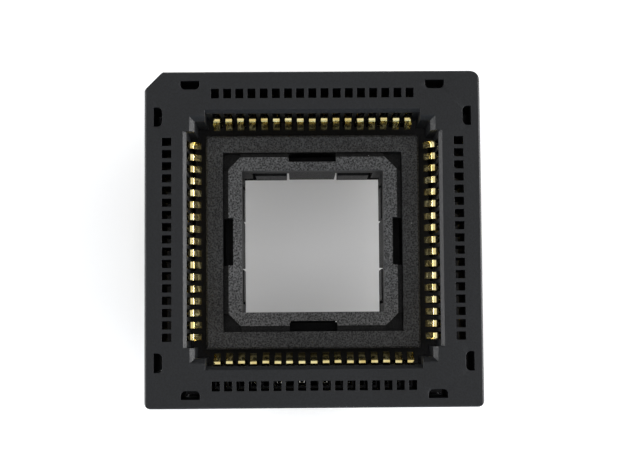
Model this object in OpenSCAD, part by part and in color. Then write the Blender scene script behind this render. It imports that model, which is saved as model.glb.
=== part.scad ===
/* [Cover] */
// Outside width of the square cover, which sets how many contacts a side has room for
cover_width = 35; // [27:0.5:45]
// Height of the cover from its underside to its top
cover_height = 6.3; // [6.1:0.1:7.5]
// Downward travel of the cover
stroke = 2.0; // [1.6:0.1:2.2]
// Gap left under the cover while it is pressed down
pressed_gap = 0.2; // [0.1:0.05:0.5]
// Length of a side from the cover's corner to the first contact's half of the pitch
corner_room = 6.7; // [6.6:0.05:7.3]
// Thickness of the skin over the contact pockets
skin = 0.58; // [0.5:0.02:0.7]
// Width of the chamfer round the opening
lip_chamfer = 0.37; // [0.3:0.01:0.45]
// How far the corner guides stand in from the walls of the opening
guide_step = 0.83; // [0.6:0.01:0.9]
// Width of the chamfer on the corner guides
guide_chamfer = 0.53; // [0.3:0.01:0.6]
// Leg of the index chamfer that marks the first corner
index_chamfer = 1.9; // [1:0.1:2.2]
// Radius of the back right corner
large_corner = 1.1; // [0.4:0.1:1.5]
// Radius of the two front corners
small_corner = 0.65; // [0.3:0.05:1.2]
// Small chamfer on the moulded outer edges
edge_break = 0.18; // [0.05:0.01:0.3]
// Radial length of the square hole over each release tongue
hole_length = 1.0; // [0.8:0.05:1.1]
// Width of each contact pocket along the row
pocket_width = 0.85; // [0.8:0.01:0.95]

/* [Cover hooks] */
// Distance of a hook's middle from the cover's corner
hook_inset = 4.73; // [4.6:0.01:4.9]
// Width of a hook
hook_width = 2.0; // [1.6:0.1:2.2]
// Thickness of a hook's leg
hook_leg = 0.95; // [0.8:0.05:1.1]
// Inward reach of a hook's barb
hook_barb = 0.75; // [0.5:0.05:0.85]
// Height of a hook's barb
hook_barb_height = 1.0; // [0.8:0.1:1.2]
// Radial depth of the D-shaped hole behind a hook
hook_hole_depth = 0.9; // [0.8:0.05:1.1]
// Corner radius of the D-shaped hole
hook_hole_corner = 0.5; // [0.3:0.05:0.7]

/* [Base] */
// How far the base's sides stand in from the cover's
base_setback = 0.2; // [0.1:0.05:0.4]
// Height of the base's combs over the circuit board
base_top = 6.0; // [5.7:0.1:6.8]
// Height of the corner pads that lift the base off the board
pad_height = 0.4; // [0.3:0.05:0.6]
// Side of a corner pad
pad_size = 2.4; // [2:0.1:2.6]
// Distance of a corner pad's edges from the base's sides
pad_inset = 1.0; // [0.8:0.05:1.2]
// Diameter of the two locating pegs
peg_d = 1.5; // [1.2:0.1:1.8]
// Length of the locating pegs below the pads
peg_length = 2.0; // [1.5:0.1:2.6]
// Distance of a locating peg from the cover's sides
peg_inset = 4.8; // [4.7:0.01:4.9]
// Height of the rim round the middle window
rim_top = 5.0; // [4:0.1:5.4]
// Height of the floor of the recesses that the seat's feet stand over
foot_floor = 1.0; // [0.8:0.1:1.6]

/* [Seat] */
// Gap between the seat's sides and the contact noses
nose_gap = 0.37; // [0.3:0.01:0.5]
// How far the seat's plate lies below the contacts' heads
seat_depth = 2.4; // [2.2:0.05:2.6]
// Thickness of the seat's plate
seat_plate = 1.9; // [1.6:0.1:2.2]
// Width of the shelf outside the groove
shelf_width = 1.85; // [1.6:0.01:2.1]
// Width of the groove round the ring
groove_gap = 0.59; // [0.45:0.01:0.75]
// Depth of the groove round the ring
groove_depth = 0.7; // [0.5:0.05:0.8]
// Height of the raised ring over the plate
ring_rise = 0.8; // [0.5:0.05:0.9]
// Width of the ring's wall between the groove and the window
ring_wall = 1.46; // [1.3:0.01:1.6]
// Leg of the chamfers on the ring's corners
ring_chamfer = 1.3; // [0.8:0.1:1.6]
// Length of a corner foot along each side of the window
foot_length = 0.97; // [0.7:0.01:1.2]
// Height of the feet's undersides over the board
foot_low = 2.4; // [1.8:0.1:3]
// Width of a snap leg under the seat
leg_width = 5.08; // [4:0.01:5.4]
// Thickness of a snap leg
leg_thick = 0.93; // [0.85:0.01:1.05]
// Outward reach of a snap leg's barb
leg_barb = 0.6; // [0.4:0.05:0.8]

/* [Contacts] */
// Distance from one contact to the next
pitch = 1.27; // [1.2:0.01:1.4]
// Thickness of the contact strip
strip = 0.25; // [0.2:0.01:0.27]
// Width of the contact strip along the row
strip_width = 0.7; // [0.5:0.01:0.72]
// Width of the release tongue along the row
tongue_width = 0.36; // [0.3:0.02:0.5]
// How far the contacts' heads lie below the cover's top while it is up
head_depth = 2.7; // [2.68:0.02:2.9]
// Distance of the contact noses from the cover's outer face
nose_inset = 5.66; // [5.6:0.01:5.7]
// Distance of the upright flexing stems from the cover's outer face
stem_inset = 4.2; // [4.16:0.01:4.25]
// How far the leads of a chip carrier push the noses outward
lead_grip = 0.735; // [0.66:0.005:0.8]
// Depth of the flexure that an arm rocks about below the top of the combs
flexure_depth = 2.4; // [2.2:0.05:2.6]
// Distance of the inner row of solder tails from the cover's outer face
inner_inset = 4.8; // [4.7:0.01:4.82]
// Distance of the outer row of solder tails from the cover's outer face
outer_inset = 2.26; // [2.2:0.01:2.5]
// Length of the solder tails below the board seat
tail_length = 3.2; // [2.6:0.1:4]
// Width of a solder tail
tail_width = 0.45; // [0.35:0.01:0.5]

/* [Springs] */
// Outside diameter of a return spring
spring_d = 2.2; // [1.9:0.1:2.3]
// Wire diameter of a return spring
spring_wire = 0.3; // [0.24:0.02:0.34]
// Turns of a return spring
spring_turns = 9; // [7:1:10]
// Distance of a spring's axis from the cover's outer faces
spring_inset = 3.2; // [3:0.05:3.3]
// Height of the spring pockets' floor over the board
spring_floor = 1.2; // [1:0.1:1.5]
// Height of the cover above the top of its spring pockets
spring_roof = 2.0; // [1.6:0.1:2.6]

/* [Fits] */
// Clearance round a contact in its slot
contact_fit = 0.05; // [0.03:0.01:0.07]
// Clearance beside a sliding hook or behind a snap leg
slide_fit = 0.15; // [0.08:0.01:0.25]
// Clearance on each side of a snap leg
leg_fit = 0.27; // [0.15:0.01:0.35]
// Clearance between the feet and the ends of the rim
foot_fit = 0.32; // [0.2:0.01:0.4]
// Clearance between an open nose and a lead
lead_fit = 0.055; // [0.03:0.005:0.1]
// Clearance under a catch
catch_fit = 0.05; // [0.03:0.01:0.08]
// Radial clearance round a return spring
spring_fit = 0.2; // [0.1:0.05:0.25]

/* [Hidden] */

// Turn of each side about the socket's centre, for a side drawn towards +X
FRONT = 270;
RIGHT = 0;
BACK = 90;
LEFT = 180;
SIDES = [RIGHT, BACK, LEFT, FRONT];

PLASTIC = [0.17, 0.17, 0.19];
SEAT_PLASTIC = [0.20, 0.20, 0.21];
GOLD = [0.83, 0.66, 0.30];
STEEL = [0.75, 0.76, 0.78];

past = 0.5;
outer_face = cover_width / 2;
cover_under = base_top + pressed_gap + stroke;
cover_top = cover_under + cover_height;
pocket_roof = cover_top - skin;

// A side has as many contacts as fit between its corners, evenly about its middle
contacts_per_side = floor((cover_width - 2 * corner_room) / pitch);
last = contacts_per_side - 1;
places = [for (k = [0:last]) (k - last / 2) * pitch];
row_half = contacts_per_side * pitch / 2;

nose_place = outer_face - nose_inset;
stem_place = outer_face - stem_inset;
inner_row = outer_face - inner_inset;
outer_row = outer_face - outer_inset;
spring_place = outer_face - spring_inset;
peg_place = outer_face - peg_inset;
hook_place = outer_face - hook_inset;
base_width = cover_width - 2 * base_setback;
pad_out = base_width / 2 - pad_inset;

// The contact's side view, along the strip's middle: distance from the centre line, then height
head_top = cover_top - head_depth;
flexure_height = base_top - flexure_depth;
bend = 0.25;
head_turn = 138;
head_u = nose_place + 1.01;
head_z = head_top - strip / 2 - bend;
head_start = [head_u + bend + 0.03, head_z - 2];
stem_bow = [stem_place - 0.07, flexure_height + 2.7];
nose_bend = 0.2;
nose_turn = 75;
nose_tip = 0.4;
nose_u = nose_place + strip / 2 + nose_bend;
slope = (nose_u - head_u - (bend - nose_bend) * cos(head_turn)) / cos(head_turn + 90);
nose_z = head_z + (bend - nose_bend) * sin(head_turn) + slope * sin(head_turn + 90);
split_z = flexure_height + 1.6;
tongue_tip = [stem_place + 1.05, cover_under + 0.1];

// The contacts' backs stand a little way into the pockets in the opening's walls
head_back = head_u + bend + strip / 2;
opening = 2 * (head_back - 0.075);
guide_start = row_half + 0.455;

// The arms rock until the noses clear the leads
nose_swing = lead_grip + lead_fit;
swing = asin(nose_swing / (nose_z - flexure_height));

// The cam inside each pocket pushes the tongue outward by the swing while the cover goes down
cam_low = [tongue_tip.x - strip / 2 - 0.045, tongue_tip.y - 0.05];
tip_start = tongue_tip - [stem_place, flexure_height];
tip_end = [tip_start.x * cos(swing) + tip_start.y * sin(swing),
           tip_start.y * cos(swing) - tip_start.x * sin(swing)];
cam_rise = stroke - (tip_start.y - tip_end.y);
cam_high = cam_low + [tip_end.x - tip_start.x, cam_rise];
hole_in = cam_high.x + 0.01;
hole_out = hole_in + hole_length;
blade_low = cam_low.x - 0.25;
blade_high = head_back + sin(swing) * (head_top - flexure_height) + 0.06;

hook_in = outer_face - hook_leg;
barb_top = base_top - 2.6;
hook_end = barb_top - hook_barb_height - 0.1;

seat_width = 2 * (nose_place - nose_gap);
groove_width = seat_width - 2 * shelf_width;
ring_width = groove_width - 2 * groove_gap;
window = ring_width - 2 * ring_wall;
seat_top = head_top - seat_depth;
plate_under = seat_top - seat_plate;
leg_in = window / 2;
leg_out = leg_in + leg_thick;
leg_low = 1.0;
leg_catch = 2.0;
slot_in = leg_out + 0.02;
slot_out = groove_width / 2;
foot_thick = 0.68;
foot_start = leg_in - foot_length;

bore_r = spring_d / 2 + spring_fit;
spring_low = spring_floor + catch_fit;
spring_high = cover_top - spring_roof - catch_fit;

comb_in = stem_place - strip / 2 - 0.35;
comb_out = outer_row + strip / 2 + 0.15;
run_z = 1.9;
slot_width = strip_width + 2 * contact_fit;

function unit(v) = v / norm(v);
function side_step(path, i) =
    let (before = unit(path[i] - path[max(i - 1, 0)] + (i == 0 ? path[1] - path[0] : [0, 0])),
         n = len(path) - 1,
         after = unit(path[min(i + 1, n)] - path[i] + (i == n ? path[n] - path[n - 1] : [0, 0])),
         middle = unit(before + after))
    [-middle.y, middle.x] / (middle * before);
function ribbon(path, thick) =
    let (steps = [for (i = [0:len(path) - 1]) side_step(path, i) * thick / 2])
    concat([for (i = [0:len(path) - 1]) path[i] + steps[i]],
           [for (i = [len(path) - 1:-1:0]) path[i] - steps[i]]);
function arc(centre, r, from, to, steps) =
    [for (i = [0:steps]) let (a = from + (to - from) * i / steps) centre + r * [cos(a), sin(a)]];

// Repeats what is drawn for the right side on all four sides
module each_side() {
    for (turn = SIDES) rotate(turn) children();
}

// Extrudes a side view, distance from the centre line by height, along the row
module along_row(width) {
    rotate([90, 0, 0]) linear_extrude(width, center = true) children();
}

module box(from, to) {
    translate(from) cube(to - from);
}

module block(width, low, high) {
    box([-width / 2, -width / 2, low], [width / 2, width / 2, high]);
}

module outline(width) {
    half = width / 2;
    difference() {
        square(width, center = true);
        polygon([[-half - past, half - index_chamfer - past], [-half - past, half + past],
                 [-half + index_chamfer + past, half + past]]);
        translate([half - large_corner, half - large_corner]) quarter_corner(large_corner);
        translate([half - small_corner, -half + small_corner]) rotate(-90)
            quarter_corner(small_corner);
        translate([-half + small_corner, -half + small_corner]) rotate(180)
            quarter_corner(small_corner);
    }
}

module quarter_corner(r) {
    difference() {
        square(r + past);
        circle(r, $fn = 48);
    }
}

// A straight prism that takes a small chamfer off the top edge of each side
module edge_breaks(width, top) {
    half = width / 2;
    each_side()
        along_row(width + past)
            polygon([[half - edge_break, top + past], [half + past, top + past],
                     [half + past, top - edge_break], [half, top - edge_break],
                     [half - edge_break, top]]);
}

// One pocket of the cover, with the blade that carries the cam left standing between its two parts
module contact_pocket() {
    along_row(pocket_width) {
        polygon([[opening / 2 - past, cover_under - past], [blade_low, cover_under - past],
                 [blade_low, cam_low.y], [blade_high, pocket_roof],
                 [opening / 2 - past, pocket_roof]]);
        polygon([[blade_low, cover_under - past], [hole_out, cover_under - past],
                 [hole_out, cover_top + past], [hole_in, cover_top + past],
                 [hole_in, cam_high.y], cam_low, [blade_low, cam_low.y]]);
    }
}

// The opening with its chamfer, narrower between the corner guides
module cover_opening() {
    inner = opening / 2;
    guide = inner - guide_step;
    block(2 * guide, cover_under - past, cover_top + past);
    each_side()
        along_row(2 * guide_start)
            polygon([[0, cover_under - past], [inner, cover_under - past],
                     [inner, cover_top - lip_chamfer], [inner + lip_chamfer, cover_top],
                     [inner + lip_chamfer, cover_top + past], [0, cover_top + past]]);
    intersection() {
        guide_funnel(guide);
        rotate(90) guide_funnel(guide);
    }
}

// A bevelled bar whose crossing with the same bar turned has mitred corners
module guide_funnel(guide) {
    low = cover_top - guide_chamfer;
    wide = guide + guide_chamfer;
    along_row(2 * wide)
        polygon([[-guide, low], [guide, low], [wide, cover_top], [wide, cover_top + past],
                 [-wide, cover_top + past], [-wide, cover_top]]);
}

// The D-shaped hole that the mould's core for a hook's barb leaves in the cover
module hook_hole() {
    half = hook_width / 2;
    corner = [hook_hole_corner - hook_hole_depth, half - hook_hole_corner];
    rounded = arc(corner, hook_hole_corner, 90, 180, 6);
    translate([hook_in, 0, cover_under - past])
        linear_extrude(cover_height + 2 * past)
            polygon(concat([[0, half]], rounded,
                           [for (i = [len(rounded) - 1:-1:0]) [rounded[i].x, -rounded[i].y]],
                           [[0, -half]]));
}

module hook() {
    along_row(hook_width)
        polygon([[outer_face, cover_under + past], [hook_in, cover_under + past],
                 [hook_in, barb_top], [hook_in - hook_barb, barb_top],
                 [hook_in - hook_barb, barb_top - hook_barb_height / 3],
                 [hook_in, hook_end], [outer_face - edge_break, hook_end],
                 [outer_face, hook_end + edge_break]]);
}

module at_hooks() {
    each_side()
        for (end = [-1, 1]) translate([0, end * hook_place, 0]) children();
}

module at_corners() {
    for (x = [-1, 1], y = [-1, 1]) translate([x * spring_place, y * spring_place, 0]) children();
}

module cover() {
    color(PLASTIC)
    union() {
        difference() {
            translate([0, 0, cover_under]) linear_extrude(cover_height) outline(cover_width);
            cover_opening();
            edge_breaks(cover_width, cover_top);
            each_side()
                for (place = places) translate([0, place, 0]) contact_pocket();
            at_hooks() hook_hole();
            at_corners()
                translate([0, 0, cover_under - past])
                    cylinder(h = cover_height - spring_roof + past, r = bore_r, $fn = 40);
        }
        at_hooks() hook();
    }
}

// Room for a hook's leg and barb, under a ledge that stops the cover at the top of its travel
module hook_way() {
    wide = hook_width + 2 * slide_fit;
    along_row(wide)
        polygon([[outer_face + past, pad_height - past], [outer_face + past, base_top + past],
                 [hook_in - slide_fit, base_top + past], [hook_in - slide_fit, barb_top + catch_fit],
                 [hook_in - hook_barb - slide_fit, barb_top + catch_fit],
                 [hook_in - hook_barb - slide_fit, pad_height - past]]);
}

// The slot in the base's comb that holds one contact, with the hole that its tail goes down
module contact_slot(row) {
    along_row(slot_width)
        polygon([[comb_in, base_top + past], [comb_in, run_z - strip / 2 - contact_fit],
                 [comb_out, run_z - strip / 2 - contact_fit], [comb_out, base_top + past]]);
    if (row < comb_in + strip)
        along_row(slot_width)
            polygon([[row - strip / 2 - contact_fit, run_z + strip],
                     [row - strip / 2 - contact_fit, run_z - strip / 2 - contact_fit],
                     [comb_in + past, run_z - strip / 2 - contact_fit],
                     [comb_in + past, run_z + strip]]);
    along_row(tail_width + 2 * contact_fit)
        translate([row - strip / 2 - contact_fit, pad_height - past])
            square([strip + 2 * contact_fit, run_z]);
}

// Room for a snap leg, with the ledge that its barb catches under
module leg_way() {
    wide = leg_width + 2 * leg_fit;
    along_row(wide) {
        polygon([[0, pad_height - past], [leg_out + slide_fit, pad_height - past],
                 [leg_out + slide_fit, plate_under + past], [0, plate_under + past]]);
        polygon([[leg_in, pad_height - past], [slot_out, pad_height - past],
                 [slot_out, leg_catch + catch_fit], [leg_in, leg_catch + catch_fit]]);
        polygon([[leg_in, rim_top], [slot_out, rim_top], [slot_out, plate_under + past],
                 [leg_in, plate_under + past]]);
    }
}

module base() {
    recess_out = leg_in + foot_thick + slide_fit;
    recess_in = foot_start - foot_fit;
    seat_support = 2 * (recess_out + 2.35);
    color(PLASTIC)
    difference() {
        union() {
            translate([0, 0, pad_height]) linear_extrude(base_top - pad_height)
                outline(base_width);
            block(seat_support, pad_height, plate_under);
            for (turn = SIDES)
                rotate(turn)
                    box([pad_out - pad_size, pad_out - pad_size, 0],
                        [pad_out, pad_out, pad_height + past]);
            for (side = [-1, 1])
                translate([side * peg_place, side * peg_place, -peg_length]) {
                    translate([0, 0, edge_break])
                        cylinder(h = peg_length + pad_height + past, d = peg_d, $fn = 40);
                    cylinder(h = edge_break, d1 = peg_d - 2 * edge_break, d2 = peg_d, $fn = 40);
                }
        }
        edge_breaks(base_width, base_top);
        block(window, pad_height - past, plate_under + past);
        block(2 * recess_out, rim_top, plate_under + past);
        for (turn = SIDES)
            rotate(turn)
                box([recess_in, recess_in, foot_floor],
                    [recess_out, recess_out, plate_under + past]);
        each_side() {
            leg_way();
            for (k = [0:last])
                translate([0, places[k], 0]) contact_slot(k % 2 == 0 ? inner_row : outer_row);
        }
        at_hooks() hook_way();
        at_corners()
            translate([0, 0, spring_floor]) cylinder(h = base_top, r = bore_r, $fn = 40);
    }
}

module octagon(width, cut) {
    half = width / 2;
    polygon([[half, half - cut], [half - cut, half], [cut - half, half], [-half, half - cut],
             [-half, cut - half], [cut - half, -half], [half - cut, -half], [half, cut - half]]);
}

module snap_leg() {
    along_row(leg_width)
        polygon([[leg_in, plate_under + past], [leg_out, plate_under + past],
                 [leg_out, leg_catch], [leg_out + leg_barb, leg_catch],
                 [leg_out + leg_barb, leg_catch - 0.3], [leg_out - 0.2, leg_low],
                 [leg_in, leg_low]]);
}

module seat() {
    foot_out = leg_in + foot_thick;
    color(SEAT_PLASTIC)
    difference() {
        union() {
            difference() {
                block(seat_width, plate_under, seat_top);
                edge_breaks(seat_width, seat_top);
                block(groove_width, seat_top - groove_depth, seat_top + past);
            }
            translate([0, 0, plate_under])
                linear_extrude(seat_plate + ring_rise) octagon(ring_width, ring_chamfer);
            for (turn = SIDES)
                rotate(turn)
                    box([foot_start, foot_start, foot_low], [foot_out, foot_out, plate_under + past]);
            each_side() snap_leg();
        }
        block(window, 0, seat_top + ring_rise + past);
        each_side()
            box([slot_in, -leg_width / 2, plate_under - past],
                [slot_out, leg_width / 2, seat_top + ring_rise + past]);
        for (turn = SIDES)
            rotate(turn)
                translate([0, 0, seat_top - 2 * groove_depth])
                    linear_extrude(seat_plate)
                        polygon([[groove_width, groove_width] / 2,
                                 [groove_width / 2, ring_width / 2 - ring_chamfer],
                                 [ring_width / 2, ring_width / 2 - ring_chamfer],
                                 [ring_width / 2 - ring_chamfer, ring_width / 2],
                                 [ring_width / 2 - ring_chamfer, groove_width / 2]]);
    }
}

// The arm of one contact: a stem, a bent head, a slope down to the nose that grips the lead,
// and a tongue
function arm_path() =
    let (nose = arc([nose_u, nose_z], nose_bend, head_turn, head_turn + nose_turn, 3),
         down = head_turn + nose_turn + 90)
    concat([[stem_place, flexure_height + 0.1], [stem_place, split_z], stem_bow, head_start],
           arc([head_u, head_z], bend, 0, head_turn, 6), nose,
           [nose[len(nose) - 1] + nose_tip * [cos(down), sin(down)]]);
function tongue_path() =
    [[stem_place + 0.03, split_z - 0.1], [stem_place + 0.58, flexure_height + 2.1],
     [stem_place + 0.93, flexure_height + 3.3], tongue_tip];

module arm() {
    along_row(strip_width) polygon(ribbon(arm_path(), strip));
    along_row(tongue_width) polygon(ribbon(tongue_path(), strip));
    translate([stem_place, 0, flexure_height]) rotate([90, 0, 0])
        cylinder(h = strip_width, d = strip, center = true, $fn = 24);
    along_row(strip_width)
        translate([stem_place - strip / 2, flexure_height]) square([strip, 0.3]);
}

// The fixed end of one contact: a foot in the base's slot and the solder tail under it
module tail(row) {
    foot_top = flexure_height - strip / 2 - 0.03;
    way = row < stem_place ? -1 : 1;
    along_row(strip_width)
        polygon(ribbon([[stem_place, foot_top], [stem_place, run_z + 0.25],
                        [stem_place + way * 0.25, run_z], [row + way * strip / 2, run_z]], strip));
    along_row(tail_width)
        polygon([[row - strip / 2, run_z], [row + strip / 2, run_z],
                 [row + strip / 2, -tail_length + 0.3], [row + strip / 4, -tail_length],
                 [row - strip / 4, -tail_length], [row - strip / 2, -tail_length + 0.3]]);
}

function row_places(outer) = [for (k = [0:last]) if ((k % 2 != 0) == outer) places[k]];

module tails(turn, outer) {
    color(GOLD)
        rotate(turn)
            for (place = row_places(outer))
                translate([0, place, 0]) tail(outer ? outer_row : inner_row);
}

module arms(turn, outer) {
    color(GOLD)
        rotate(turn)
            for (place = row_places(outer)) translate([0, place, 0]) arm();
}

// A coil with closed end turns, swept by rings of points along its middle line
steps_per_turn = 12;
wire_sides = 6;
coil_steps = spring_turns * steps_per_turn;
function coil_height(turn) =
    let (open = spring_high - spring_low - 3 * spring_wire, last_turn = spring_turns - 1)
    turn < 1 ? spring_low + spring_wire * (0.5 + turn)
    : turn > last_turn ? spring_high - spring_wire * (0.5 + spring_turns - turn)
    : spring_low + 1.5 * spring_wire + open * (turn - 1) / (spring_turns - 2);
function coil_ring(i) =
    let (angle = 360 * i / steps_per_turn, r = (spring_d - spring_wire) / 2)
    [for (j = [0:wire_sides - 1])
        let (a = 360 * j / wire_sides, out = r + spring_wire / 2 * cos(a))
        [out * cos(angle), out * sin(angle),
         coil_height(i / steps_per_turn) + spring_wire / 2 * sin(a)]];

module coil() {
    points = [for (i = [0:coil_steps]) each coil_ring(i)];
    walls = [for (i = [0:coil_steps - 1], j = [0:wire_sides - 1])
                let (a = i * wire_sides + j, b = i * wire_sides + (j + 1) % wire_sides)
                [a, a + wire_sides, b + wire_sides, b]];
    start = [for (j = [0:wire_sides - 1]) j];
    end = [for (j = [wire_sides - 1:-1:0]) coil_steps * wire_sides + j];
    polyhedron(points, concat(walls, [start], [end]));
}

module spring(x, y) {
    color(STEEL) translate([x * spring_place, y * spring_place, 0]) coil();
}

base();
seat();
cover();
spring(-1, -1);  // spring_front_left
spring(1, -1);  // spring_front_right
spring(-1, 1);  // spring_back_left
spring(1, 1);  // spring_back_right
tails(FRONT, false);  // tails_inner_front
tails(RIGHT, false);  // tails_inner_right
tails(BACK, false);  // tails_inner_back
tails(LEFT, false);  // tails_inner_left
tails(FRONT, true);  // tails_outer_front
tails(RIGHT, true);  // tails_outer_right
tails(BACK, true);  // tails_outer_back
tails(LEFT, true);  // tails_outer_left
arms(FRONT, false);  // arms_inner_front
arms(RIGHT, false);  // arms_inner_right
arms(BACK, false);  // arms_inner_back
arms(LEFT, false);  // arms_inner_left
arms(FRONT, true);  // arms_outer_front
arms(RIGHT, true);  // arms_outer_right
arms(BACK, true);  // arms_outer_back
arms(LEFT, true);  // arms_outer_left
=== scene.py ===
import math
import random

import bpy
from mathutils import Matrix, Vector


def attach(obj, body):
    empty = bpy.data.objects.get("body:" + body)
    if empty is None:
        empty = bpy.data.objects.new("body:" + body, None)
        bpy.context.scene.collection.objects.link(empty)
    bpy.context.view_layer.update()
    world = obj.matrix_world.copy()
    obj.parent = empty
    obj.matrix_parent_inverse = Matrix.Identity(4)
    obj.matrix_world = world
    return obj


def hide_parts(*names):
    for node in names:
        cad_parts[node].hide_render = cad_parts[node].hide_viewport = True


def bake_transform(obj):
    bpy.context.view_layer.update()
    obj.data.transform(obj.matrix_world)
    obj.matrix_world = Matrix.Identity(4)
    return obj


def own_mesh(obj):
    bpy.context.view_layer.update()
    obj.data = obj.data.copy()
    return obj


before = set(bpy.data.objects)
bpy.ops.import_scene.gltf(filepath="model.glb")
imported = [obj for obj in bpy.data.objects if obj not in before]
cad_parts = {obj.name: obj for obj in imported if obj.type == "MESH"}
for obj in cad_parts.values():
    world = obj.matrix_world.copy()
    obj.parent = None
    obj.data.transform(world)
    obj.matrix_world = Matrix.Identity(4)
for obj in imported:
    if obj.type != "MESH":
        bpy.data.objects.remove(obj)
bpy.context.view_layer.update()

MM = 0.001
SIDES = {"right": 0, "back": 90, "left": 180, "front": 270}

# The socket's own sizes, in millimetres, as its maker would give them
PITCH = 1.27
LAST = 8
ROWS = {"inner": 12.70, "outer": 15.24}
STRIP = 0.25
STRIP_WIDTH = 0.70
TONGUE_WIDTH = 0.36
TAIL_WIDTH = 0.45
TAIL_TIP = -3.2
TAIL_POINT = 0.3
TAIL_POINT_SHARE = (0.5, 0.8)
FOOT_HEIGHT = 1.9
FOOT_BEND = 0.2
STEM_PLACE = 13.3
FLEXURE_HEIGHT = 3.6
SPLIT_HEIGHT = 5.2
BOW_IN = 0.07
BOW_RISE = 2.7
NECK_OUT = 0.03
NECK_DROP = 2.0
HEAD_TOP = 11.8
HEAD_PLACE = 12.96
HEAD_FLAT = 0.17
HEAD_FALL = 6
HEAD_BEND = 0.14
HEAD_TURN = 142
NOSE_PLACE = 11.84
NOSE_BEND = 0.2
NOSE_TURN = 75
NOSE_TIP = 0.4
TONGUE_ROOT = (0.03, -0.1)
TONGUE_RUNS = ((0.55, 0.6), (0.35, 1.2), (0.16, 1.4))
SPRING_PLACE = 14.3
SPRING_TURNS = 9
SPRING_D = 2.2
SPRING_WIRE = 0.3
SPRING_LOW = 1.25
SPRING_HIGH = 12.45
COVER_TOP = 14.5

# Rounding of moulded and stamped edges, and the least angle that counts as an edge
MOULDED_EDGE = 0.04
MOULDED_EDGE_ANGLE = 28
STAMPED_EDGE = 0.035
STAMPED_EDGE_ANGLE = 40

# How far handling bends a contact, in degrees either way
TWIST = 1.8
LEAN = 0.3
SWAY = 0.15

dice = random.Random(17)


def only(piece):
    """Leaves piece as the only selected and active object."""
    bpy.ops.object.select_all(action="DESELECT")
    piece.select_set(True)
    bpy.context.view_layer.objects.active = piece
    return piece


def finish_modifiers(piece):
    only(piece)
    for name in [m.name for m in piece.modifiers]:
        bpy.ops.object.modifier_apply(modifier=name)
    return piece


def place_in_mesh(piece):
    only(piece)
    bpy.ops.object.transform_apply(location=True, rotation=True, scale=True)
    return piece


# Materials

def node_group(name, inputs, outputs):
    group = bpy.data.node_groups.new(name, "ShaderNodeTree")
    for socket, kind, value in inputs:
        made = group.interface.new_socket(socket, in_out="INPUT", socket_type=kind)
        if value is not None:
            made.default_value = value
    for socket, kind in outputs:
        group.interface.new_socket(socket, in_out="OUTPUT", socket_type=kind)
    start = group.nodes.new("NodeGroupInput")
    end = group.nodes.new("NodeGroupOutput")
    return group, start, end


def add(tree, kind, inputs=None, **settings):
    """Adds a node, sets its settings, and sets or links its inputs."""
    made = tree.nodes.new(kind)
    for name, value in settings.items():
        setattr(made, name, value)
    for name, value in (inputs or {}).items():
        if isinstance(value, bpy.types.NodeSocket):
            tree.links.new(value, made.inputs[name])
        else:
            made.inputs[name].default_value = value
    return made


def grain_group():
    """Spark-eroded mould grain: a height, and a mask that is 1 on the grain's raised spots."""
    group, start, end = node_group(
        "mould_grain",
        [("Vector", "NodeSocketVector", None), ("Size", "NodeSocketFloat", 0.25),
         ("Contrast", "NodeSocketFloat", 1.0)],
        [("Height", "NodeSocketFloat"), ("Spots", "NodeSocketFloat")])
    per_metre = add(group, "ShaderNodeMath", {0: 1.0 / MM, 1: start.outputs["Size"]},
                    operation="DIVIDE")
    pits = add(group, "ShaderNodeTexVoronoi",
               {"Vector": start.outputs["Vector"], "Scale": per_metre.outputs[0],
                "Randomness": 1.0}, feature="SMOOTH_F1")
    cloud = add(group, "ShaderNodeTexNoise",
                {"Vector": start.outputs["Vector"], "Scale": per_metre.outputs[0],
                 "Detail": 3.0, "Roughness": 0.65})
    mixed = add(group, "ShaderNodeMath", {0: pits.outputs["Distance"],
                                          1: cloud.outputs["Fac"]}, operation="ADD")
    height = add(group, "ShaderNodeMath", {0: mixed.outputs[0], 1: start.outputs["Contrast"]},
                 operation="MULTIPLY")
    spots = add(group, "ShaderNodeMapRange",
                {"Value": mixed.outputs[0], "From Min": 0.65, "From Max": 1.15})
    group.links.new(height.outputs[0], end.inputs["Height"])
    group.links.new(spots.outputs[0], end.inputs["Spots"])
    return group


def dust_group():
    """Sparse specks of dust and lint: a mask that is 1 on a speck."""
    group, start, end = node_group(
        "dust_specks",
        [("Vector", "NodeSocketVector", None), ("Spacing", "NodeSocketFloat", 1.5),
         ("Size", "NodeSocketFloat", 0.06), ("Share", "NodeSocketFloat", 0.25)],
        [("Mask", "NodeSocketFloat")])
    per_metre = add(group, "ShaderNodeMath", {0: 1.0 / MM, 1: start.outputs["Spacing"]},
                    operation="DIVIDE")
    cells = add(group, "ShaderNodeTexVoronoi",
                {"Vector": start.outputs["Vector"], "Scale": per_metre.outputs[0],
                 "Randomness": 1.0}, feature="F1")
    reach = add(group, "ShaderNodeMath", {0: start.outputs["Size"],
                                          1: start.outputs["Spacing"]}, operation="DIVIDE")
    inside = add(group, "ShaderNodeMath", {0: cells.outputs["Distance"], 1: reach.outputs[0]},
                 operation="LESS_THAN")
    chance = add(group, "ShaderNodeSeparateColor", {"Color": cells.outputs["Color"]})
    chosen = add(group, "ShaderNodeMath", {0: chance.outputs["Red"],
                                           1: start.outputs["Share"]}, operation="LESS_THAN")
    mask = add(group, "ShaderNodeMath", {0: inside.outputs[0], 1: chosen.outputs[0]},
               operation="MULTIPLY")
    group.links.new(mask.outputs[0], end.inputs["Mask"])
    return group


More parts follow.
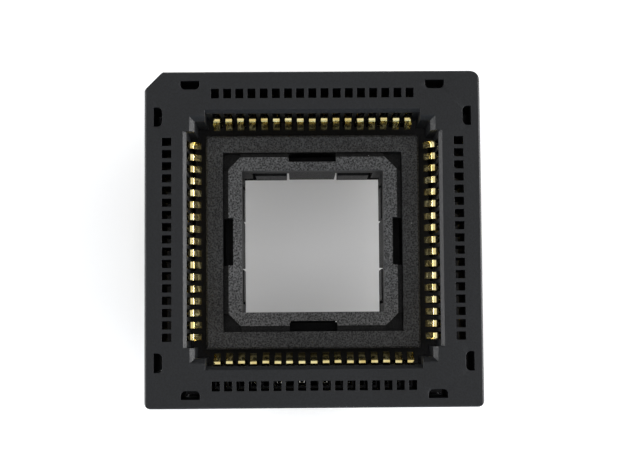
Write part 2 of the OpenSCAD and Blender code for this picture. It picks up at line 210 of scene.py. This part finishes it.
def tone_group():
    """Slow change of tone over a moulding, as flow and handling leave it: a value about 1."""
    group, start, end = node_group(
        "slow_tone",
        [("Vector", "NodeSocketVector", None), ("Size", "NodeSocketFloat", 8.0),
         ("Amount", "NodeSocketFloat", 0.3)],
        [("Value", "NodeSocketFloat")])
    per_metre = add(group, "ShaderNodeMath", {0: 1.0 / MM, 1: start.outputs["Size"]},
                    operation="DIVIDE")
    cloud = add(group, "ShaderNodeTexNoise",
                {"Vector": start.outputs["Vector"], "Scale": per_metre.outputs[0],
                 "Detail": 4.0, "Roughness": 0.55})
    centred = add(group, "ShaderNodeMath", {0: cloud.outputs["Fac"], 1: 0.5},
                  operation="SUBTRACT")
    scaled = add(group, "ShaderNodeMath", {0: centred.outputs[0], 1: start.outputs["Amount"],
                                           2: 1.0}, operation="MULTIPLY_ADD")
    group.links.new(scaled.outputs[0], end.inputs["Value"])
    return group


# Painted shade on the seat by height: darker on its walls and recesses and on the groove floor,
# where shade falls, its own colour on the shelf, and lighter on the raised ring; each tone holds
# above its height
SEAT_SHADE_LEVELS = ((-10.0, 0.2), (8.2, 0.3), (9.0, 1.0), (9.8, 1.9))

GRAIN = grain_group()
DUST = dust_group()
TONE = tone_group()


def new_material(name):
    material = bpy.data.materials.new(name)
    material.use_nodes = True
    tree = material.node_tree
    shader = tree.nodes["Principled BSDF"]
    place = tree.nodes.new("ShaderNodeTexCoord").outputs["Object"]
    return material, tree, shader, place


def group_node(tree, group, inputs):
    made = tree.nodes.new("ShaderNodeGroup")
    made.node_tree = group
    for name, value in inputs.items():
        if isinstance(value, bpy.types.NodeSocket):
            tree.links.new(value, made.inputs[name])
        else:
            made.inputs[name].default_value = value
    return made


def height_shade(tree, place, shade_levels):
    """Painted shade for each step of a stepped moulding, given as pairs of a height and the tone
    above it.
    """
    height = add(tree, "ShaderNodeSeparateXYZ", {"Vector": place}).outputs["Z"]
    tone = None
    for top, value in shade_levels:
        above = add(tree, "ShaderNodeMath", {0: height, 1: top * MM}, operation="GREATER_THAN")
        step = add(tree, "ShaderNodeMix", {"Factor": above.outputs[0], "A": tone or 0.0, "B": value})
        tone = step.outputs["Result"]
    return tone


def moulded_plastic(name, colour, speckle, roughness, grain_size, grain_depth, gloss, dust_share,
                    shade_levels=((-10.0, 1.0),)):
    """Glass-filled black plastic with mould grain, a slow change of tone, and dust."""
    material, tree, shader, place = new_material(name)
    grain = group_node(tree, GRAIN, {"Vector": place, "Size": grain_size})
    tone = group_node(tree, TONE, {"Vector": place, "Size": 9.0, "Amount": 0.5})
    dust = group_node(tree, DUST, {"Vector": place, "Share": dust_share})
    mixed = add(tree, "ShaderNodeMix", {"Factor": grain.outputs["Spots"],
                                        "A": colour, "B": speckle}, data_type="RGBA")
    # The colour is scaled by the painted shade of each height and by the slow tone.
    shade_and_tone = add(tree, "ShaderNodeMath", {0: height_shade(tree, place, shade_levels),
                                         1: tone.outputs["Value"]}, operation="MULTIPLY")
    lit = add(tree, "ShaderNodeVectorMath", {0: mixed.outputs["Result"],
                                             "Scale": shade_and_tone.outputs[0]}, operation="SCALE")
    dusted = add(tree, "ShaderNodeMix", {"Factor": dust.outputs["Mask"],
                                         "A": lit.outputs["Vector"],
                                         "B": (0.35, 0.34, 0.34, 1.0)}, data_type="RGBA")
    tree.links.new(dusted.outputs["Result"], shader.inputs["Base Color"])
    rough = add(tree, "ShaderNodeMapRange",
                {"Value": grain.outputs["Spots"], "To Min": roughness - 0.06,
                 "To Max": roughness + 0.10})
    tree.links.new(rough.outputs[0], shader.inputs["Roughness"])
    bump = add(tree, "ShaderNodeBump", {"Height": grain.outputs["Height"],
                                        "Strength": 1.0, "Distance": grain_depth * MM})
    tree.links.new(bump.outputs["Normal"], shader.inputs["Normal"])
    shader.inputs["Specular IOR Level"].default_value = gloss
    return material


def plated_gold():
    """Hard gold over nickel on rolled strip: rolling marks, and a browner tone where it is thin."""
    material, tree, shader, place = new_material("plated_gold")
    stretch = add(tree, "ShaderNodeMapping", {"Vector": place, "Scale": (1.0, 1.0, 0.15)})
    marks = add(tree, "ShaderNodeTexNoise",
                {"Vector": stretch.outputs["Vector"], "Scale": 9000.0, "Detail": 2.0})
    thin = add(tree, "ShaderNodeTexNoise", {"Vector": place, "Scale": 900.0, "Detail": 3.0})
    tone = add(tree, "ShaderNodeMapRange",
               {"Value": thin.outputs["Fac"], "From Min": 0.35, "From Max": 0.65})
    colour = add(tree, "ShaderNodeMix", {"Factor": tone.outputs[0],
                                         "A": (0.68, 0.53, 0.20, 1.0),
                                         "B": (0.93, 0.83, 0.44, 1.0)}, data_type="RGBA")
    tree.links.new(colour.outputs["Result"], shader.inputs["Base Color"])
    rough = add(tree, "ShaderNodeMapRange",
                {"Value": marks.outputs["Fac"], "To Min": 0.11, "To Max": 0.17})
    tree.links.new(rough.outputs[0], shader.inputs["Roughness"])
    bump = add(tree, "ShaderNodeBump", {"Height": marks.outputs["Fac"], "Strength": 0.04,
                                        "Distance": 0.003 * MM})
    tree.links.new(bump.outputs["Normal"], shader.inputs["Normal"])
    shader.inputs["Metallic"].default_value = 1.0
    return material


def spring_wire():
    material, tree, shader, place = new_material("spring_wire")
    marks = add(tree, "ShaderNodeTexNoise", {"Vector": place, "Scale": 4000.0, "Detail": 3.0})
    colour = add(tree, "ShaderNodeMix", {"Factor": marks.outputs["Fac"],
                                         "A": (0.42, 0.42, 0.43, 1.0),
                                         "B": (0.66, 0.66, 0.67, 1.0)}, data_type="RGBA")
    tree.links.new(colour.outputs["Result"], shader.inputs["Base Color"])
    rough = add(tree, "ShaderNodeMapRange",
                {"Value": marks.outputs["Fac"], "To Min": 0.22, "To Max": 0.36})
    tree.links.new(rough.outputs[0], shader.inputs["Roughness"])
    shader.inputs["Metallic"].default_value = 1.0
    return material


COVER_PLASTIC = moulded_plastic(
    "cover_plastic", colour=(0.0065, 0.0070, 0.0082, 1), speckle=(0.012, 0.013, 0.015, 1),
    roughness=0.46, grain_size=0.16, grain_depth=0.010, gloss=0.30, dust_share=0.10)
# The seat's colour carries painted shade, darker in its recesses and groove.
SEAT_PLASTIC = moulded_plastic(
    "seat_plastic", colour=(0.007, 0.007, 0.0072, 1), speckle=(0.080, 0.080, 0.081, 1),
    roughness=0.56, grain_size=0.16, grain_depth=0.05, gloss=0.30, dust_share=0.10,
    shade_levels=SEAT_SHADE_LEVELS)
BASE_PLASTIC = moulded_plastic(
    "base_plastic", colour=(0.004, 0.004, 0.0048, 1), speckle=(0.009, 0.009, 0.010, 1),
    roughness=0.50, grain_size=0.18, grain_depth=0.012, gloss=0.20, dust_share=0.04)
GOLD = plated_gold()
WIRE = spring_wire()


# Mouldings

def softened_moulding(node, body, material):
    """The moulding with its sharp edges rounded, as a mould leaves them."""
    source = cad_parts[node]
    piece = bpy.data.objects.new(node + "_moulding", source.data.copy())
    bpy.context.scene.collection.objects.link(piece)
    piece.data.materials.clear()
    only(piece)
    bpy.ops.object.mode_set(mode="EDIT")
    bpy.ops.mesh.select_all(action="SELECT")
    bpy.ops.mesh.remove_doubles(threshold=0.0005 * MM)
    bpy.ops.object.mode_set(mode="OBJECT")
    bpy.ops.object.shade_smooth()
    bevel = piece.modifiers.new("edges", "BEVEL")
    bevel.width = MOULDED_EDGE * MM
    bevel.segments = 2
    bevel.limit_method = "ANGLE"
    bevel.angle_limit = math.radians(MOULDED_EDGE_ANGLE)
    bevel.use_clamp_overlap = False
    bevel.loop_slide = False
    bevel.face_strength_mode = "FSTR_ALL"
    flats = piece.modifiers.new("flats", "WEIGHTED_NORMAL")
    flats.use_face_influence = True
    finish_modifiers(piece)
    piece.data.materials.append(material)
    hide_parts(node)
    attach(piece, body)
    return piece


softened_moulding("cover", "cover", COVER_PLASTIC)
softened_moulding("seat", "base", SEAT_PLASTIC)
softened_moulding("base", "base", BASE_PLASTIC)


# Contacts

def section(width, at, name):
    """A strip's cross section lying flat at a place on the middle line, ready to be drawn out."""
    bpy.ops.object.select_all(action="DESELECT")
    bpy.ops.mesh.primitive_plane_add(size=1.0, location=(at[0] * MM, 0, at[1] * MM))
    piece = bpy.context.active_object
    piece.name = name
    piece.scale = (STRIP * MM, width * MM, 1.0)
    bpy.ops.object.transform_apply(location=True, rotation=False, scale=True)
    bpy.ops.object.mode_set(mode="EDIT")
    bpy.ops.mesh.select_all(action="SELECT")
    return piece


def draw_out(across, up, steps=1):
    for _ in range(steps):
        bpy.ops.mesh.extrude_region_move(
            TRANSFORM_OT_translate={"value": (across * MM / steps, 0, up * MM / steps)})


def bend_about(centre, degrees, steps):
    """Bends the strip on about a centre; positive degrees turn an upright strip inward."""
    bpy.ops.mesh.spin(steps=steps, angle=math.radians(degrees), axis=(0, 1, 0),
                      center=(centre[0] * MM, 0, centre[1] * MM))


def polar(centre, radius, degrees):
    angle = math.radians(degrees)
    return centre[0] + radius * math.cos(angle), centre[1] + radius * math.sin(angle)


def contact_strip(row):
    """One contact, drawn out from the tip of its solder tail to its nose."""
    row_place = ROWS[row]
    way = 1 if row_place < STEM_PLACE else -1
    piece = section(TAIL_WIDTH, (row_place, TAIL_TIP), "contact_" + row)
    thinner, narrower = TAIL_POINT_SHARE
    bpy.ops.transform.resize(value=(thinner, narrower, 1.0))
    draw_out(0, TAIL_POINT)
    bpy.ops.transform.resize(value=(1 / thinner, 1 / narrower, 1.0))
    draw_out(0, FOOT_HEIGHT - FOOT_BEND - TAIL_TIP - TAIL_POINT)
    bend_about((row_place + way * FOOT_BEND, FOOT_HEIGHT - FOOT_BEND), -90 * way, 4)
    bpy.ops.transform.resize(value=(1.0, STRIP_WIDTH / TAIL_WIDTH, 1.0))
    draw_out(STEM_PLACE - row_place - 2 * way * FOOT_BEND, 0)
    bend_about((STEM_PLACE - way * FOOT_BEND, FOOT_HEIGHT + FOOT_BEND), 90 * way, 4)
    stem_start = FOOT_HEIGHT + FOOT_BEND
    draw_out(0, SPLIT_HEIGHT - stem_start, 10)
    head = (HEAD_PLACE, HEAD_TOP - STRIP / 2 - HEAD_BEND)
    bow = (STEM_PLACE - BOW_IN, FLEXURE_HEIGHT + BOW_RISE)
    neck = (head[0] + HEAD_BEND + NECK_OUT, head[1] - NECK_DROP)
    draw_out(bow[0] - STEM_PLACE, bow[1] - SPLIT_HEIGHT, 2)
    draw_out(neck[0] - bow[0], neck[1] - bow[1], 3)
    draw_out(head[0] + HEAD_BEND - neck[0], head[1] - neck[1], 3)
    bend_about(head, 90 + HEAD_FALL, 6)
    brow = polar(head, HEAD_FLAT, 180 + HEAD_FALL)
    draw_out(brow[0] - head[0], brow[1] - head[1])
    bend_about(brow, HEAD_TURN - 90 - HEAD_FALL, 4)
    slope_start = polar(brow, HEAD_BEND, HEAD_TURN)
    down = HEAD_TURN + 90
    nose = NOSE_PLACE + STRIP / 2
    nose_centre_reach = NOSE_BEND * math.cos(math.radians(down + 90))
    length = (nose + NOSE_BEND - nose_centre_reach - slope_start[0]) / math.cos(math.radians(down))
    slope_end = polar(slope_start, length, down)
    draw_out(slope_end[0] - slope_start[0], slope_end[1] - slope_start[1])
    bend_about(polar(slope_end, NOSE_BEND, down + 90), NOSE_TURN, 6)
    tip = polar((0, 0), NOSE_TIP, down + NOSE_TURN)
    draw_out(tip[0], tip[1])
    bpy.ops.object.mode_set(mode="OBJECT")
    return piece


def tongue():
    """The release tongue, lanced from the strip, on which the cover's cam works."""
    root = (STEM_PLACE + TONGUE_ROOT[0], SPLIT_HEIGHT + TONGUE_ROOT[1])
    piece = section(TONGUE_WIDTH, root, "tongue")
    for out, up in TONGUE_RUNS:
        draw_out(out, up, 2)
    bpy.ops.object.mode_set(mode="OBJECT")
    return piece


def one_contact(row):
    strip = contact_strip(row)
    release = tongue()
    only(strip)
    release.select_set(True)
    bpy.ops.object.join()
    bpy.ops.object.mode_set(mode="EDIT")
    bpy.ops.mesh.select_all(action="SELECT")
    bpy.ops.mesh.remove_doubles(threshold=0.001 * MM)
    bpy.ops.mesh.normals_make_consistent(inside=False)
    bpy.ops.object.mode_set(mode="OBJECT")
    bevel = strip.modifiers.new("edges", "BEVEL")
    bevel.width = STAMPED_EDGE * MM
    bevel.segments = 2
    bevel.limit_method = "ANGLE"
    bevel.angle_limit = math.radians(STAMPED_EDGE_ANGLE)
    finish_modifiers(strip)
    bpy.ops.object.shade_smooth_by_angle(angle=math.radians(STAMPED_EDGE_ANGLE))
    return strip


def bend_out_of_true(contact):
    """Leans and twists a contact a little above its foot, as handling leaves it."""
    pivot = Matrix.Translation((STEM_PLACE * MM, 0, FLEXURE_HEIGHT * MM))
    twist = Matrix.Rotation(math.radians(dice.uniform(-TWIST, TWIST)), 4, "Z")
    lean = Matrix.Rotation(math.radians(dice.uniform(-LEAN, LEAN)), 4, "Y")
    sway = Matrix.Rotation(math.radians(dice.uniform(-SWAY, SWAY)), 4, "X")
    change = pivot @ twist @ lean @ sway @ pivot.inverted()
    for point in contact.data.vertices:
        if point.co.z > FLEXURE_HEIGHT * MM:
            point.co = change @ point.co


def contact_row(pattern, row, side):
    """All the contacts of a row on one side, each a little out of true, as one piece."""
    copies = []
    for k in range(-LAST, LAST + 1):
        if (k % 2 != 0) != (row == "outer"):
            continue
        copy = bpy.data.objects.new("contact", pattern.data.copy())
        bpy.context.scene.collection.objects.link(copy)
        bend_out_of_true(copy)
        shift = Matrix.Translation((0, k * PITCH * MM, 0))
        copy.matrix_world = Matrix.Rotation(math.radians(SIDES[side]), 4, "Z") @ shift
        copies.append(copy)
    bpy.ops.object.select_all(action="DESELECT")
    for copy in copies:
        copy.select_set(True)
    bpy.context.view_layer.objects.active = copies[0]
    bpy.ops.object.join()
    piece = place_in_mesh(copies[0])
    piece.name = f"contacts_{row}_{side}"
    piece.data.materials.append(GOLD)
    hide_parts(f"tails_{row}_{side}", f"arms_{row}_{side}")
    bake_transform(piece)


for row in ROWS:
    pattern = one_contact(row)
    for side in SIDES:
        contact_row(pattern, row, side)
    bpy.data.objects.remove(pattern)


# Springs

def return_spring(x, y, node):
    bpy.ops.object.select_all(action="DESELECT")
    bpy.ops.mesh.primitive_circle_add(vertices=10, radius=SPRING_WIRE / 2 * MM,
                                      location=((SPRING_D - SPRING_WIRE) / 2 * MM, 0, 0),
                                      rotation=(math.pi / 2, 0, 0), fill_type="NGON")
    piece = bpy.context.active_object
    piece.name = node + "_coil"
    bpy.ops.object.transform_apply(location=True, rotation=True, scale=True)
    wind = piece.modifiers.new("winding", "SCREW")
    wind.angle = math.radians(360 * SPRING_TURNS)
    wind.steps = wind.render_steps = 20 * SPRING_TURNS
    wind.screw_offset = (SPRING_HIGH - SPRING_LOW - SPRING_WIRE) * MM
    wind.use_normal_calculate = True
    finish_modifiers(piece)
    piece.location = (x * SPRING_PLACE * MM, y * SPRING_PLACE * MM,
                      (SPRING_LOW + SPRING_WIRE / 2) * MM)
    place_in_mesh(piece)
    bpy.ops.object.shade_smooth()
    piece.data.materials.append(WIRE)
    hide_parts(node)
    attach(piece, "base")
    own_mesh(piece)


return_spring(-1, -1, "spring_front_left")
return_spring(1, -1, "spring_front_right")
return_spring(-1, 1, "spring_back_left")
return_spring(1, 1, "spring_back_right")


# Floor, light and camera

FLOOR_SIZE = 3.0

# Distances from the middle, in metres, between which a painted glow on the floor grows, and by how
# much: painted light that leaves the floor near and under the socket darker and lifts the far floor
NEAR_PAINTED_GLOW = (0.012, 0.021, 0.30)
FAR_PAINTED_GLOW = (0.15, 0.40, 0.7)


def floor():
    bpy.ops.object.select_all(action="DESELECT")
    bpy.ops.mesh.primitive_plane_add(size=FLOOR_SIZE, location=(0, 0, TAIL_TIP * MM))
    plane = bpy.context.active_object
    plane.name = "floor"
    material, tree, shader, place = new_material("pale_floor")
    shader.inputs["Base Color"].default_value = (0.96, 0.96, 0.965, 1.0)
    shader.inputs["Roughness"].default_value = 0.7
    shader.inputs["Specular IOR Level"].default_value = 0.2
    # Painted light: the floor glows for camera, glossy and transmission rays, more the farther it
    # lies from the middle.
    shader.inputs["Emission Color"].default_value = (1, 1, 1, 1)
    path = add(tree, "ShaderNodeLightPath")
    direct = add(tree, "ShaderNodeMath", {0: path.outputs["Is Camera Ray"],
                                          1: path.outputs["Is Glossy Ray"]}, operation="MAXIMUM")
    seen = add(tree, "ShaderNodeMath", {0: direct.outputs[0],
                                        1: path.outputs["Is Transmission Ray"]},
               operation="MAXIMUM")
    reach = add(tree, "ShaderNodeVectorMath", {0: place}, operation="LENGTH")
    rises = []
    for start, end, amount in (NEAR_PAINTED_GLOW, FAR_PAINTED_GLOW):
        rises.append(add(tree, "ShaderNodeMapRange",
                         {"Value": reach.outputs["Value"], "From Min": start,
                          "From Max": end, "To Max": amount}))
    painted_glow_by_distance = add(tree, "ShaderNodeMath", {0: rises[0].outputs[0], 1: rises[1].outputs[0]},
               operation="ADD")
    glow = add(tree, "ShaderNodeMath", {0: seen.outputs[0], 1: painted_glow_by_distance.outputs[0]},
               operation="MULTIPLY")
    tree.links.new(glow.outputs[0], shader.inputs["Emission Strength"])
    plane.data.materials.append(material)


def panel(name, place, target, width, height, power, colour):
    """A soft panel light that faces a target point."""
    data = bpy.data.lights.new(name, "AREA")
    data.shape = "RECTANGLE"
    data.size = width
    data.size_y = height
    data.energy = power
    data.color = colour
    lamp = bpy.data.objects.new(name, data)
    bpy.context.scene.collection.objects.link(lamp)
    lamp.location = place
    lamp.rotation_euler = (Vector(target) - Vector(place)).to_track_quat("-Z", "Y").to_euler()


WHITE = (1, 1, 1)
COOL = (0.72, 0.86, 1.0)
WORLD_STRENGTH = 0.12


def lights():
    """A light tent: low panels left and right, a large soft one above, a cool strip in front."""
    opening = (0, 0, 0.012)
    panel("left_panel", (-0.42, 0.0, 0.075), opening, 0.7, 0.13, 3.2, WHITE)
    panel("right_panel", (0.42, 0.0, 0.075), opening, 0.7, 0.13, 5.2, WHITE)
    panel("top_panel", (0, 0.02, 0.55), (0, 0, 0.01), 1.2, 0.7, 2.1, WHITE)
    panel("front_strip", (0, -0.44, 0.26), opening, 0.6, 0.08, 0.5, COOL)
    world = bpy.data.worlds.new("studio")
    world.use_nodes = True
    backdrop = world.node_tree.nodes["Background"]
    backdrop.inputs["Color"].default_value = (1, 1, 1, 1)
    backdrop.inputs["Strength"].default_value = WORLD_STRENGTH
    bpy.context.scene.world = world


# The photograph's view, fitted to its rows of holes and contacts
CAMERA_DISTANCE = 143.0
CAMERA_TILT = -3.8
CAMERA_LEAN = 0.64
CAMERA_ROLL = 0.43
CAMERA_SHIFT = (-0.17, -0.19)
FOCAL_PIXELS = 1380.0
FRAME_WIDTH = 630


def camera():
    data = bpy.data.cameras.new("photo_camera")
    data.sensor_width = 36.0
    data.lens = data.sensor_width * FOCAL_PIXELS / FRAME_WIDTH
    data.clip_start = 0.01
    made = bpy.data.objects.new("photo_camera", data)
    bpy.context.scene.collection.objects.link(made)
    turn = (Matrix.Rotation(math.radians(CAMERA_ROLL), 3, "Z")
            @ Matrix.Rotation(math.radians(CAMERA_TILT), 3, "X")
            @ Matrix.Rotation(math.radians(CAMERA_LEAN), 3, "Y"))
    back = turn.transposed()
    place = back @ Vector((-CAMERA_SHIFT[0], -CAMERA_SHIFT[1], CAMERA_DISTANCE))
    place.z += COVER_TOP
    made.matrix_world = Matrix.Translation(place * MM) @ back.to_4x4()
    bpy.context.scene.camera = made


floor()
lights()
camera()
bpy.context.scene.view_settings.view_transform = "Standard"
